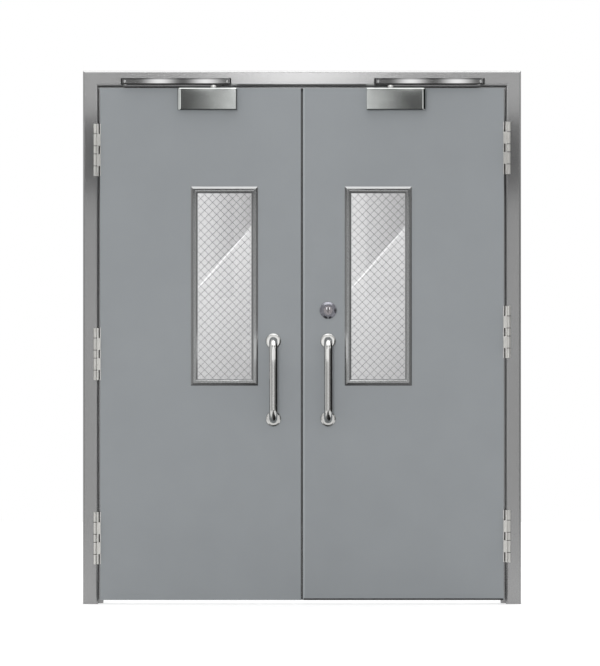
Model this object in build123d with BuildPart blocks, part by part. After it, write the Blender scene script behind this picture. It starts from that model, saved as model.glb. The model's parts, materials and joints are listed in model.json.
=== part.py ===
# Double-leaf steel fire door in its frame, millimetres.
# X runs to the right of the front view, Y into the wall, Z up.
# The origin is the centre of the left floor anchor's underside.
import os
from math import cos, radians

from build123d import *

os.makedirs("parts", exist_ok=True)

# Overall frame
FRAME_W = 1746.0
FRAME_H = 2125.0
FRAME_DEPTH = 110.0
FACE_W = 60.0
REBATE = 52.0
STOP = 18.0
RETURN_LIP = 14.0
SHEET = 2.0
FACE_BEND = 8.0
SMALL_BEND = 3.0

# Leaves
FLOOR_GAP = 16.0
LEAF_T = 45.0
LEAF_SET_BACK = 2.0
SIDE_GAP = 8.0
TOP_GAP = 9.0
MEETING_GAP = 8.0
EDGE_BEND = 3.0
CHANNEL_WALL = 3.0
TOP_CHANNEL = 6.0
BOTTOM_CHANNEL = 12.0

# Hinges, placed from the ends and the middle of the leaf
AXIS_OUT = 10.0
AXIS_AHEAD = 8.0
BARREL_R = 7.0
PIN_R = 4.0
PIN_PLAY = 0.1
KNUCKLES = (40.0, 48.0, 32.0, 48.0, 40.0)
KNUCKLE_GAP = 0.5
PLATE_T = 3.0
PLATE_DEEP = 34.0
HINGE_END = 247.0
LEFT_HINGE_LIFT = 0.0
RIGHT_HINGE_LIFT = 8.0
LEFT_MIDDLE_LIFT = -40.0
RIGHT_MIDDLE_LIFT = 48.0

# Vision panels, hung from the top of the leaf
VISION_W = 267.0
VISION_H = 793.0
VISION_DROP = 392.5
LEFT_VISION_X = 309.0
RIGHT_VISION_X = 304.0
MOULD_W = 26.0
MOULD_RISE = 5.5
MOULD_EDGE = 2.0
SLEEVE_T = 6.0
GLASS_T = 7.0

# Pull handles and lock
LEFT_HANDLE_X = 114.0
RIGHT_HANDLE_X = 104.0
HANDLE_LOW_Z = 738.0
HANDLE_SPAN = 310.0
HANDLE_R = 16.5
HANDLE_OUT = 65.0
HANDLE_BEND = 38.0
ROSE_R = 31.0
ROSE_T = 9.0
ROSE_ROUND = 7.0
LOCK_X = 104.0
LOCK_Z = 1170.0
LOCK_R = 33.5
LOCK_T = 12.0
LOCK_TAPER_IN = 9.0
LOCK_TAPER_DOWN = 8.0
PLUG_R = 17.5
PLUG_PLAY = 0.3
PLUG_SUNK = 1.0
KEYWAY_W = 3.2
KEYWAY_H = 18.0
KEYWAY_DEEP = 6.0
FOREND_W = 22.0
FOREND_H = 235.0
FOREND_T = 3.0
BOLT_W = 12.0
BOLT_H = 34.0
BOLT_DEEP = 16.0

# Closers, placed from the hinge axis and the top of the leaf
SPINDLE_FROM_AXIS = 471.0
SHOE_FROM_AXIS = 524.0
ELBOW_FROM_AXIS = 120.0
LEFT_CLOSER_SHIFT = 25.5
RIGHT_CLOSER_SHIFT = 22.5
CLOSER_W = 237.0
CLOSER_H = 88.0
CLOSER_DEEP = 46.0
CLOSER_DROP = 2.0
CLOSER_END_ROUND = 14.0
CLOSER_ROUND = 4.0
ARM_AHEAD = 23.0
SPINDLE_R = 7.0
SPINDLE_DEEP = 22.0
HUB_R = 10.0
HUB_GAP = 1.0
ARM_CLEAR = 5.0
ARM_T = 4.5
ARM_ROOT_R = 11.0
ARM_TIP_R = 9.0
BAR_CLEAR = 2.0
BAR_H = 25.2
BAR_END = 17.5
LEFT_BAR_SHIFT = 0.0
RIGHT_BAR_SHIFT = 5.5
BAR_FRONT = 12.0
BAR_BACK = 12.0
BAR_WALL = 3.0
BAR_BEVEL_H = 5.0
BAR_BEVEL_IN = 0.5
BAR_FRONT_WALL = 4.5
ELBOW_R = 8.0
ELBOW_GAP = 0.5
SHOE_PIN_R = 4.0
SHOE_BASE_T = 4.0
SHOE_TONGUE_R = 5.5
SHOE_REACH = 38.0
SHOE_PLAY = 1.0

# Floor anchors
ANCHOR_X = 33.0
ANCHOR_W = 50.0
ANCHOR_D = 90.0
ANCHOR_T = 3.0
ANCHOR_LEG = 60.0
ANCHOR_HOLE_R = 5.5
ANCHOR_SPACING = 60.0

HALF_W = FRAME_W / 2
CENTRE_X = HALF_W - ANCHOR_X
FRONT_Y = -FRAME_DEPTH / 2
REBATE_X = HALF_W - FACE_W
HEAD_BOTTOM = FRAME_H - FACE_W
MITRE = 2 * (FACE_W + STOP)
LEAF_EDGE_X = REBATE_X - SIDE_GAP
LEAF_FRONT = FRONT_Y + LEAF_SET_BACK
LEAF_BACK = LEAF_FRONT + LEAF_T
LEAF_MIDDLE_Y = (LEAF_FRONT + LEAF_BACK) / 2
LEAF_BOTTOM = FLOOR_GAP
LEAF_TOP = HEAD_BOTTOM - TOP_GAP
LEAF_MIDDLE_Z = (LEAF_BOTTOM + LEAF_TOP) / 2
AXIS_X = REBATE_X + AXIS_OUT
AXIS_Y = FRONT_Y - AXIS_AHEAD
HINGE_H = sum(KNUCKLES)
NECK = PLATE_T / 2
GLASS_W = VISION_W - 2 * MOULD_W
GLASS_H = VISION_H - 2 * MOULD_W
VISION_Z = LEAF_TOP - VISION_DROP - VISION_H / 2
HANDLE_TOP_Z = HANDLE_LOW_Z + HANDLE_SPAN
SPINDLE_X = AXIS_X - SPINDLE_FROM_AXIS
SHOE_X = AXIS_X - SHOE_FROM_AXIS
ELBOW_X = AXIS_X - ELBOW_FROM_AXIS
CLOSER_TOP = LEAF_TOP - CLOSER_DROP
CLOSER_BOTTOM = CLOSER_TOP - CLOSER_H
ARM_Y = FRONT_Y - ARM_AHEAD
ARM_BOTTOM = LEAF_TOP + ARM_CLEAR
ARM_TOP = ARM_BOTTOM + ARM_T
BAR_BOTTOM = ARM_TOP + BAR_CLEAR
BAR_TOP = BAR_BOTTOM + BAR_H


# Centre heights of a leaf's hinges.
def hinge_heights(lift, middle_lift):
    return {
        "top": LEAF_TOP - HINGE_END + lift,
        "middle": LEAF_MIDDLE_Z + middle_lift,
        "bottom": LEAF_BOTTOM + HINGE_END + lift,
    }


# Places a point given as distance outward from the centre line on either side.
def out(side, distance):
    return CENTRE_X + side * distance


# A box between two distances from the centre line, in Y and in Z.
def slab(side, near, far, y0, y1, z0, z1, mode=Mode.ADD):
    middle = (out(side, (near + far) / 2), (y0 + y1) / 2, (z0 + z1) / 2)
    with Locations(middle):
        Box(far - near, abs(y1 - y0), z1 - z0, mode=mode)


# An upright cylinder between two heights.
def post(side, distance, y, z0, z1, radius, mode=Mode.ADD):
    with Locations((out(side, distance), y, (z0 + z1) / 2)):
        Cylinder(radius, z1 - z0, mode=mode)


def save(maker, node):
    maker.part.label = node
    export_step(maker.part, "parts/" + node + ".step")


# The folded sheet section: u runs inward from the outer edge, v back from the face.
def section_points():
    u1 = FACE_W
    u2 = FACE_W + STOP
    t = SHEET
    back = FRAME_DEPTH
    return [
        (0, RETURN_LIP),
        (0, 0),
        (u1, 0),
        (u1, REBATE),
        (u2, REBATE),
        (u2, back),
        (0, back),
        (0, back - RETURN_LIP),
        (t, back - RETURN_LIP),
        (t, back - t),
        (u2 - t, back - t),
        (u2 - t, REBATE + t),
        (u1 - t, REBATE + t),
        (u1 - t, t),
        (t, t),
        (t, RETURN_LIP),
    ]


# The corners of the section: big bends at the two front edges, small ones elsewhere.
def bend_radii():
    t = SHEET
    u1 = FACE_W
    u2 = FACE_W + STOP
    back = FRAME_DEPTH
    return [
        ((0, 0), FACE_BEND),
        ((t, t), FACE_BEND - t),
        ((u1, 0), FACE_BEND),
        ((u1 - t, t), FACE_BEND - t),
        ((u1, REBATE), SMALL_BEND - t),
        ((u1 - t, REBATE + t), SMALL_BEND),
        ((u2, REBATE), SMALL_BEND),
        ((u2 - t, REBATE + t), SMALL_BEND - t),
        ((u2, back), SMALL_BEND),
        ((u2 - t, back - t), SMALL_BEND - t),
        ((0, back), SMALL_BEND),
        ((t, back - t), SMALL_BEND - t),
    ]


# Sketches the folded section, with a rule that places u and v on the sketch plane.
def folded_section(plane, place):
    with BuildSketch(plane) as section:
        with BuildLine():
            Polyline(*[place(u, v) for u, v in section_points()], close=True)
        make_face()
        for (u, v), radius in bend_radii():
            fillet(section.vertices().sort_by_distance(place(u, v))[0], radius)
    return section.sketch


# A mitre wedge cut off one end of a jamb or the head, seen from the front.
def cut_mitre(side, outer_down):
    third = (out(side, HALF_W), FRAME_H - MITRE) if outer_down else (out(side, HALF_W - MITRE), FRAME_H)
    with BuildSketch(Plane.XZ.offset(-FRAME_DEPTH)) as wedge:
        with BuildLine():
            Polyline(
                (out(side, HALF_W), FRAME_H),
                third,
                (out(side, HALF_W - MITRE), FRAME_H - MITRE),
                close=True,
            )
        make_face()
    extrude(wedge.sketch, amount=2 * FRAME_DEPTH, dir=(0, -1, 0), mode=Mode.SUBTRACT)


# One jamb, full height with its top mitred to meet the head.
def make_jamb(side, node):
    with BuildPart() as jamb:
        section = folded_section(Plane.XY, lambda u, v: (out(side, HALF_W - u), FRONT_Y + v))
        extrude(section, amount=FRAME_H, dir=(0, 0, 1))
        cut_mitre(side, False)
    save(jamb, node)


# The head, the same section laid level and mitred at both ends.
def make_head():
    with BuildPart() as head:
        plane = Plane.YZ.offset(CENTRE_X - HALF_W)
        section = folded_section(plane, lambda u, v: (FRONT_Y + v, FRAME_H - u))
        extrude(section, amount=FRAME_W, dir=(1, 0, 0))
        cut_mitre(-1, True)
        cut_mitre(1, True)
    save(head, "frame_head")


# Angle clip inside the foot of a jamb, drilled for two floor bolts.
def make_anchor(side, node):
    middle = HALF_W - ANCHOR_X
    near = middle - ANCHOR_W / 2
    far = middle + ANCHOR_W / 2
    wall = REBATE_X + SHEET
    with BuildPart() as anchor:
        slab(side, near, far, -ANCHOR_D / 2, ANCHOR_D / 2, 0, ANCHOR_T)
        slab(side, wall, wall + ANCHOR_T, -ANCHOR_D / 2, REBATE + FRONT_Y, 0, ANCHOR_LEG)
        for y in (-ANCHOR_SPACING / 2, ANCHOR_SPACING / 2):
            post(side, middle, y, 0, ANCHOR_T, ANCHOR_HOLE_R, Mode.SUBTRACT)
    save(anchor, node)


# Heights of the knuckles of a hinge, first and last included.
def knuckle_spans(z_mid, wanted):
    spans = []
    z = z_mid - HINGE_H / 2
    for index, length in enumerate(KNUCKLES):
        if index % 2 == wanted:
            spans.append((z + KNUCKLE_GAP / 2, z + length - KNUCKLE_GAP / 2))
        z += length
    return spans


# The half of a hinge on the jamb: plate, outer and middle knuckles, fixed pin.
def make_frame_hinge(side, z_mid, node):
    z0 = z_mid - HINGE_H / 2
    z1 = z_mid + HINGE_H / 2
    plate_x = REBATE_X - PLATE_T
    with BuildPart() as half:
        slab(side, plate_x, REBATE_X, FRONT_Y, FRONT_Y + PLATE_DEEP, z0, z1)
        for low, high in knuckle_spans(z_mid, 0):
            post(side, AXIS_X, AXIS_Y, low, high, BARREL_R)
            slab(side, plate_x, AXIS_X, AXIS_Y - NECK, AXIS_Y + NECK, low, high)
            slab(side, plate_x, REBATE_X, AXIS_Y - NECK, FRONT_Y, low, high)
        post(side, AXIS_X, AXIS_Y, z0 + KNUCKLE_GAP / 2, z1 - KNUCKLE_GAP / 2, PIN_R)
    save(half, node)


# The half of a hinge on the leaf: plate let into the edge and two knuckles.
def make_leaf_hinge(side, z_mid, node):
    z0 = z_mid - HINGE_H / 2
    z1 = z_mid + HINGE_H / 2
    inner = LEAF_EDGE_X - PLATE_T
    with BuildPart() as half:
        slab(side, inner, LEAF_EDGE_X, LEAF_FRONT, LEAF_FRONT + PLATE_DEEP, z0, z1)
        for low, high in knuckle_spans(z_mid, 1):
            post(side, AXIS_X, AXIS_Y, low, high, BARREL_R)
            slab(side, inner, AXIS_X, AXIS_Y - NECK, AXIS_Y + NECK, low, high)
            slab(side, inner, LEAF_EDGE_X, AXIS_Y - NECK, LEAF_FRONT, low, high)
            post(side, AXIS_X, AXIS_Y, low, high, PIN_R + PIN_PLAY, Mode.SUBTRACT)
    save(half, node)


# A leaf with its glazing aperture, hinge recesses, edge channels and lock cut-outs.
def make_leaf(side, vision_x, hinge_z, lock, node):
    near = MEETING_GAP / 2
    half_w = GLASS_W / 2 + SLEEVE_T
    half_h = GLASS_H / 2 + SLEEVE_T
    cut = Mode.SUBTRACT
    with BuildPart() as leaf:
        slab(side, near, LEAF_EDGE_X, LEAF_FRONT, LEAF_BACK, LEAF_BOTTOM, LEAF_TOP)
        fillet(leaf.edges().filter_by(Axis.Z), EDGE_BEND)
        left = vision_x - half_w
        right = vision_x + half_w
        slab(side, left, right, LEAF_FRONT, LEAF_BACK, VISION_Z - half_h, VISION_Z + half_h, cut)
        for z_mid in hinge_z.values():
            z0 = z_mid - HINGE_H / 2
            z1 = z_mid + HINGE_H / 2
            inner = LEAF_EDGE_X - PLATE_T
            slab(side, inner, LEAF_EDGE_X, LEAF_FRONT, LEAF_FRONT + PLATE_DEEP, z0, z1, cut)
        low = near + CHANNEL_WALL
        high = LEAF_EDGE_X - PLATE_T - CHANNEL_WALL
        front = LEAF_FRONT + CHANNEL_WALL
        back = LEAF_BACK - CHANNEL_WALL
        slab(side, low, high, front, back, LEAF_BOTTOM, LEAF_BOTTOM + BOTTOM_CHANNEL, cut)
        slab(side, low, high, front, back, LEAF_TOP - TOP_CHANNEL, LEAF_TOP, cut)
        forend_recess(side)
        if lock:
            with Locations((out(side, LOCK_X), LEAF_MIDDLE_Y, LOCK_Z)):
                Cylinder(PLUG_R, LEAF_T, rotation=(90, 0, 0), mode=cut)
    save(leaf, node)


# The flat round-ended outline let into a meeting edge, swept to a depth.
def forend_shape(side, start, depth, mode):
    plane = Plane(
        origin=(out(side, start), LEAF_MIDDLE_Y, LOCK_Z),
        x_dir=(0, 0, 1),
        z_dir=(side, 0, 0),
    )
    with BuildSketch(plane) as outline:
        SlotOverall(FOREND_H, FOREND_W)
    extrude(outline.sketch, amount=depth, dir=(side, 0, 0), mode=mode)


def forend_recess(side):
    forend_shape(side, MEETING_GAP / 2, FOREND_T, Mode.SUBTRACT)
    near = MEETING_GAP / 2
    y0 = LEAF_MIDDLE_Y - BOLT_W / 2
    y1 = LEAF_MIDDLE_Y + BOLT_W / 2
    slab(side, near, near + BOLT_DEEP, y0, y1, LOCK_Z - BOLT_H / 2, LOCK_Z + BOLT_H / 2, Mode.SUBTRACT)


# Lock forend with its drawn-back bolt, or the plain strike with the bolt's hole.
def make_forend(side, bolt, node):
    near = MEETING_GAP / 2
    y0 = LEAF_MIDDLE_Y - BOLT_W / 2
    y1 = LEAF_MIDDLE_Y + BOLT_W / 2
    z0 = LOCK_Z - BOLT_H / 2
    z1 = LOCK_Z + BOLT_H / 2
    with BuildPart() as forend:
        forend_shape(side, near, FOREND_T, Mode.ADD)
        if bolt:
            slab(side, near, near + BOLT_DEEP, y0, y1, z0, z1)
        else:
            slab(side, near, near + FOREND_T, y0, y1, z0, z1, Mode.SUBTRACT)
    save(forend, node)


# Glazing frame on one face of a leaf: crowned moulding mitred round a sleeve.
def make_vision_frame(side, vision_x, face_y, outward, node):
    depth = LEAF_T / 2 - GLASS_T / 2
    half_w = VISION_W / 2 - MOULD_W
    centre = out(side, vision_x)
    ring = [
        (centre - half_w, VISION_Z - GLASS_H / 2),
        (centre + half_w, VISION_Z - GLASS_H / 2),
        (centre + half_w, VISION_Z + GLASS_H / 2),
        (centre - half_w, VISION_Z + GLASS_H / 2),
    ]
    path_points = [(x, face_y, z) for x, z in ring]
    with BuildPart() as frame:
        with BuildLine() as path:
            Polyline(*path_points, close=True)
        start = Plane(
            origin=((path_points[0][0] + path_points[1][0]) / 2, face_y, path_points[0][2]),
            x_dir=(0, 0, -1),
            z_dir=(1, 0, 0),
        )
        inside = -outward * depth
        edge = outward * MOULD_EDGE
        with BuildSketch(start):
            with BuildLine():
                Polyline((0, edge), (0, inside), (SLEEVE_T, inside), (SLEEVE_T, 0))
                Polyline((SLEEVE_T, 0), (MOULD_W, 0), (MOULD_W, edge))
                ThreePointArc((MOULD_W, edge), (MOULD_W / 2, outward * MOULD_RISE), (0, edge))
            make_face()
        sweep(path=path.wires()[0], transition=Transition.RIGHT)
    save(frame, node)


def make_glass(side, vision_x, node):
    half_w = GLASS_W / 2 + SLEEVE_T
    half_h = GLASS_H / 2 + SLEEVE_T
    y0 = LEAF_MIDDLE_Y - GLASS_T / 2
    y1 = LEAF_MIDDLE_Y + GLASS_T / 2
    left = vision_x - half_w
    right = vision_x + half_w
    with BuildPart() as glass:
        slab(side, left, right, y0, y1, VISION_Z - half_h, VISION_Z + half_h)
    save(glass, node)


# D-shaped pull bar, swept through both bends.
def make_handle(side, distance, node):
    x = out(side, distance)
    foot = LEAF_FRONT - ROSE_T
    front = LEAF_FRONT - HANDLE_OUT
    bend = HANDLE_BEND
    cut = bend * (1 - cos(radians(45)))
    with BuildPart() as handle:
        with BuildLine() as path:
            Line((x, foot, HANDLE_TOP_Z), (x, front + bend, HANDLE_TOP_Z))
            ThreePointArc(
                (x, front + bend, HANDLE_TOP_Z),
                (x, front + cut, HANDLE_TOP_Z - cut),
                (x, front, HANDLE_TOP_Z - bend),
            )
            Line((x, front, HANDLE_TOP_Z - bend), (x, front, HANDLE_LOW_Z + bend))
            ThreePointArc(
                (x, front, HANDLE_LOW_Z + bend),
                (x, front + cut, HANDLE_LOW_Z + cut),
                (x, front + bend, HANDLE_LOW_Z),
            )
            Line((x, front + bend, HANDLE_LOW_Z), (x, foot, HANDLE_LOW_Z))
        with BuildSketch(Plane(origin=(x, foot, HANDLE_TOP_Z), z_dir=(0, -1, 0))):
            Circle(HANDLE_R)
        sweep(path=path.wires()[0])
    save(handle, node)


# Round cover at the foot of a handle.
def make_rose(side, distance, z, node):
    with BuildPart() as rose:
        with Locations((out(side, distance), LEAF_FRONT - ROSE_T / 2, z)):
            Cylinder(ROSE_R, ROSE_T, rotation=(90, 0, 0))
        fillet(rose.faces().sort_by(Axis.Y)[0].edges(), ROSE_ROUND)
    save(rose, node)


# Tapered guard ring of the lock on one face of the leaf.
def make_lock_ring(side, face_y, outward, node):
    with BuildPart() as ring:
        with BuildSketch(Plane(origin=(out(side, LOCK_X), face_y, LOCK_Z), z_dir=(0, outward, 0))):
            Circle(LOCK_R)
            Circle(PLUG_R + PLUG_PLAY, mode=Mode.SUBTRACT)
        extrude(amount=LOCK_T)
        outer = ring.edges().filter_by(GeomType.CIRCLE).sort_by(Edge.length.fget)[-2:]
        far = outer.sort_by(Axis.Y)[0 if outward < 0 else -1]
        chamfer(far, LOCK_TAPER_DOWN, LOCK_TAPER_IN)
    save(ring, node)


# Keyed plug of the lock, from the leaf's middle out to the ring's face.
def make_plug(side, face_y, outward, node):
    tip = face_y + outward * (LOCK_T - PLUG_SUNK)
    with BuildPart() as plug:
        with Locations((out(side, LOCK_X), (LEAF_MIDDLE_Y + tip) / 2, LOCK_Z)):
            Cylinder(PLUG_R, abs(tip - LEAF_MIDDLE_Y), rotation=(90, 0, 0))
        with Locations((out(side, LOCK_X), tip - outward * KEYWAY_DEEP / 2, LOCK_Z)):
            Box(KEYWAY_W, KEYWAY_DEEP, KEYWAY_H, mode=Mode.SUBTRACT)
    save(plug, node)


# Closer housing on the leaf, its hinge-side end well rounded, bored for the spindle.
def make_closer_body(side, shift, node):
    near = SPINDLE_X + shift - CLOSER_W / 2
    far = SPINDLE_X + shift + CLOSER_W / 2
    front = LEAF_FRONT - CLOSER_DEEP
    with BuildPart() as body:
        slab(side, near, far, front, LEAF_FRONT, CLOSER_BOTTOM, CLOSER_TOP)
        tall = body.edges().filter_by(Axis.Z).group_by(Axis.Y)[0].sort_by(Axis.X)
        hinge_edge = tall[-1] if side > 0 else tall[0]
        fillet(hinge_edge, CLOSER_END_ROUND)
        rim = body.faces().sort_by(Axis.Y)[0].edges()
        ends = rim.filter_by(Axis.Z).sort_by(Axis.X)
        meeting_edge = ends[0] if side > 0 else ends[-1]
        fillet(rim.filter_by(Axis.X) + [meeting_edge], CLOSER_ROUND)
        bore = SPINDLE_R + PIN_PLAY
        bottom = CLOSER_TOP - SPINDLE_DEEP - PIN_PLAY
        post(side, SPINDLE_X, ARM_Y, bottom, CLOSER_TOP, bore, Mode.SUBTRACT)
    save(body, node)


# Lever on the spindle: a flat link tapering from its hub to the elbow eye.
def make_main_arm(side, node):
    with BuildPart() as arm:
        with BuildSketch(Plane.XY.offset(ARM_BOTTOM)):
            with BuildLine():
                Polyline(
                    (out(side, SPINDLE_X), ARM_Y - ARM_ROOT_R),
                    (out(side, ELBOW_X), ARM_Y - ARM_TIP_R),
                    (out(side, ELBOW_X), ARM_Y + ARM_TIP_R),
                    (out(side, SPINDLE_X), ARM_Y + ARM_ROOT_R),
                    close=True,
                )
            make_face()
            with Locations((out(side, SPINDLE_X), ARM_Y)):
                Circle(ARM_ROOT_R)
            with Locations((out(side, ELBOW_X), ARM_Y)):
                Circle(ARM_TIP_R)
        extrude(amount=ARM_T)
        post(side, SPINDLE_X, ARM_Y, CLOSER_TOP + HUB_GAP, ARM_BOTTOM, HUB_R)
        post(side, SPINDLE_X, ARM_Y, CLOSER_TOP - SPINDLE_DEEP, ARM_TOP, SPINDLE_R)
    save(arm, node)


# Channel-section outer arm with bevelled shoulders, open at its shoe end, with its elbow stub.
def make_forearm(side, shift, node):
    near = SHOE_X - BAR_END + shift
    far = ELBOW_X + BAR_END + shift
    front = ARM_Y - BAR_FRONT
    back = ARM_Y + BAR_BACK
    shoulder = front + BAR_BEVEL_IN
    pocket = front + BAR_FRONT_WALL
    wall = BAR_WALL
    cut = Mode.SUBTRACT
    start = min(out(side, near), out(side, far))
    with BuildPart() as bar:
        with BuildSketch(Plane.YZ.offset(start)):
            with BuildLine():
                Polyline(
                    (back, BAR_BOTTOM),
                    (back, BAR_TOP),
                    (shoulder, BAR_TOP),
                    (front, BAR_TOP - BAR_BEVEL_H),
                    (front, BAR_BOTTOM + BAR_BEVEL_H),
                    (shoulder, BAR_BOTTOM),
                    close=True,
                )
            make_face()
        extrude(amount=far - near)
        slab(side, near, far - wall, pocket, back, BAR_BOTTOM + wall, BAR_TOP - wall, cut)
        post(side, SHOE_X, ARM_Y, BAR_BOTTOM, BAR_TOP, SHOE_PIN_R + PIN_PLAY, cut)
        post(side, ELBOW_X, ARM_Y, ARM_TOP + ELBOW_GAP, BAR_TOP - wall, ELBOW_R)
    save(bar, node)


# Bracket on the head that carries the outer arm's pivot.
def make_shoe(side, node):
    low = BAR_BOTTOM + BAR_WALL + SHOE_PLAY
    high = BAR_TOP - BAR_WALL - SHOE_PLAY
    base = FRONT_Y - SHOE_BASE_T
    near = SHOE_X - SHOE_TONGUE_R
    with BuildPart() as shoe:
        slab(side, near, SHOE_X + SHOE_REACH, base, FRONT_Y, BAR_BOTTOM + SHOE_PLAY, BAR_TOP - SHOE_PLAY)
        slab(side, near, SHOE_X + SHOE_TONGUE_R, ARM_Y, base, low, high)
        post(side, SHOE_X, ARM_Y, low, high, SHOE_TONGUE_R)
        post(side, SHOE_X, ARM_Y, BAR_BOTTOM + PIN_PLAY, BAR_TOP - PIN_PLAY, SHOE_PIN_R)
    save(shoe, node)


make_head()
for side, word in ((-1, "left"), (1, "right")):
    left = side < 0
    vision_x = LEFT_VISION_X if left else RIGHT_VISION_X
    handle_x = LEFT_HANDLE_X if left else RIGHT_HANDLE_X
    closer_shift = LEFT_CLOSER_SHIFT if left else RIGHT_CLOSER_SHIFT
    bar_shift = LEFT_BAR_SHIFT if left else RIGHT_BAR_SHIFT
    lift = LEFT_HINGE_LIFT if left else RIGHT_HINGE_LIFT
    middle_lift = LEFT_MIDDLE_LIFT if left else RIGHT_MIDDLE_LIFT
    hinge_z = hinge_heights(lift, middle_lift)
    make_jamb(side, word + "_jamb")
    make_anchor(side, word + "_floor_anchor")
    make_leaf(side, vision_x, hinge_z, side > 0, word + "_leaf")
    for place, z_mid in hinge_z.items():
        make_frame_hinge(side, z_mid, word + "_" + place + "_hinge_frame_half")
        make_leaf_hinge(side, z_mid, word + "_" + place + "_hinge_leaf_half")
    make_vision_frame(side, vision_x, LEAF_FRONT, -1, word + "_vision_frame_front")
    make_vision_frame(side, vision_x, LEAF_BACK, 1, word + "_vision_frame_back")
    make_glass(side, vision_x, word + "_vision_glass")
    make_handle(side, handle_x, word + "_pull_handle")
    make_rose(side, handle_x, HANDLE_TOP_Z, word + "_upper_handle_rose")
    make_rose(side, handle_x, HANDLE_LOW_Z, word + "_lower_handle_rose")
    make_closer_body(side, closer_shift, word + "_closer_body")
    make_main_arm(side, word + "_closer_main_arm")
    make_forearm(side, bar_shift, word + "_closer_forearm")
    make_shoe(side, word + "_closer_shoe")

make_lock_ring(1, LEAF_FRONT, -1, "lock_ring_front")
make_lock_ring(1, LEAF_BACK, 1, "lock_ring_back")
make_plug(1, LEAF_FRONT, -1, "lock_plug_front")
make_plug(1, LEAF_BACK, 1, "lock_plug_back")
make_forend(1, True, "lock_forend")
make_forend(-1, False, "lock_strike")
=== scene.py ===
import json
from math import pi, radians

import bmesh
import bpy
from mathutils import Matrix, Vector


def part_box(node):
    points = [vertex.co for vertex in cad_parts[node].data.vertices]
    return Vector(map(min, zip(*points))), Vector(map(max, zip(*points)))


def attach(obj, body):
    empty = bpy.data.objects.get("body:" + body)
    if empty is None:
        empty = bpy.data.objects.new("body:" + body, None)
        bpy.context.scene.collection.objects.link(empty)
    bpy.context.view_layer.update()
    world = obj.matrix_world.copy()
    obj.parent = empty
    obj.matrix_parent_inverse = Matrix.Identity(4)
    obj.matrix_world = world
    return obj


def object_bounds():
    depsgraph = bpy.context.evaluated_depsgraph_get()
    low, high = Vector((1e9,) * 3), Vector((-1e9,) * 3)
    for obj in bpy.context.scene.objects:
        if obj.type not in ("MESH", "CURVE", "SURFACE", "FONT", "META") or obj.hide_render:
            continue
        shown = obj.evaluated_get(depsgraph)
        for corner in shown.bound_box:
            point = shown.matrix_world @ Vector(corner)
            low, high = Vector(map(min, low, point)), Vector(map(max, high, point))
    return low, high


bl_info = {
    "name": "Double Fire Door",
    "version": (1, 0, 0),
    "blender": (4, 5, 0),
    "location": "3D View > Sidebar > Fire Door",
    "description": "Dresses a steel double-leaf fire door and sets up its studio",
    "category": "Add Mesh",
}

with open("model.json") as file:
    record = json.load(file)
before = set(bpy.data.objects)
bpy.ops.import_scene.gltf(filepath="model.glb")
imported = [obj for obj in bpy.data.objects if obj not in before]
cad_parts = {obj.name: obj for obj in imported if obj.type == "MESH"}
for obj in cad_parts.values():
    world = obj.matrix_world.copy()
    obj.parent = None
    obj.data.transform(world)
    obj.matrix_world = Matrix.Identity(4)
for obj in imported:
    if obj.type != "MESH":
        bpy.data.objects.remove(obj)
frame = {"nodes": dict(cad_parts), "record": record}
CAD_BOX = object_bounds()
NODES = frame["nodes"]
SIDES = ("left", "right")
HINGE_PLACES = ("top", "middle", "bottom")
# Knuckle ends as shares of a hinge's height: knuckles of 40, 48, 32, 48 and 40 mm
KNUCKLE_ENDS = (40 / 208, 88 / 208, 120 / 208, 168 / 208)
# Screws of a hinge plate: share of its height, and distance from its back edge in metres
PLATE_SCREWS = ((0.12, 0.014), (0.38, 0.024), (0.62, 0.014), (0.88, 0.024))
# Width of the painted highlight along the right leaf's meeting edge, in metres
EDGE_HIGHLIGHT_WIDTH = 0.006
# Paler tones that the finishes vary towards, sRGB hex
LEAF_PALE = "94989b"
# Tone of the painted highlight along the right leaf's meeting edge, standing in for light on its bend
LEAF_EDGE_HIGHLIGHT = "a5aaad"
CLOSER_HAZE = "c8cbc9"
GLASS_PALE = "e2e2e3"
# Metals: slot, material name, colour setting, roughness, grain width in mm, spread of roughness
METALS = (
    # Polished stainless folded into a moulding: soft clear lines along its length
    ("bright_moulding", "polished_stainless", "moulding", 0.2, 2.0, 0.03),
    # Satin stainless tube: long highlights with fine streaks
    ("satin_handle", "satin_stainless", "handle", 0.15, 2.0, 0.015),
    # Satin nickel on rolled knuckles: broad pale highlights
    ("hinge_steel", "satin_nickel", "hinge", 0.36, 2.0, 0.04),
    # Dark plated lever: dull, so it sits back under the bar
    ("satin_arm", "dark_plated_steel", "lever", 0.3, 3.0, 0.05),
    # Chrome plate: mirrors the studio in bright and dark bands
    ("polished_arm", "chrome_plate", "bar", 0.035, 4.0, 0.01),
    # Hardened and ground steel: a dark smooth ring
    ("lock_steel", "hardened_steel", "lock", 0.24, 2.0, 0.03),
    # Nickel on turned brass: a little warmer and softer than the ring
    ("lock_plug", "nickel_brass", "plug", 0.25, 2.0, 0.03),
    # Bright nickel: two small glints beside the keyway
    ("bright_rib", "bright_nickel", "rib", 0.12, 2.0, 0.02),
    # Zinc plate on hidden steel: pale, dull and uneven
    ("zinc_plate", "zinc_plate", "hinge", 0.4, 5.0, 0.08),
    # Drawn steel wire: dark and dull inside the glass
    ("mesh_wire", "drawn_steel_wire", "wire", 0.45, 2.0, 0.05),
)


# Colour and node helpers
def linear(hex_colour, alpha=1.0):
    """Turns an sRGB hex value such as 8f9396 into linear RGBA."""
    channels = []
    for start in (0, 2, 4):
        value = int(hex_colour[start:start + 2], 16) / 255
        low = value / 12.92
        high = ((value + 0.055) / 1.055) ** 2.4
        channels.append(low if value <= 0.04045 else high)
    return (*channels, alpha)


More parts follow.
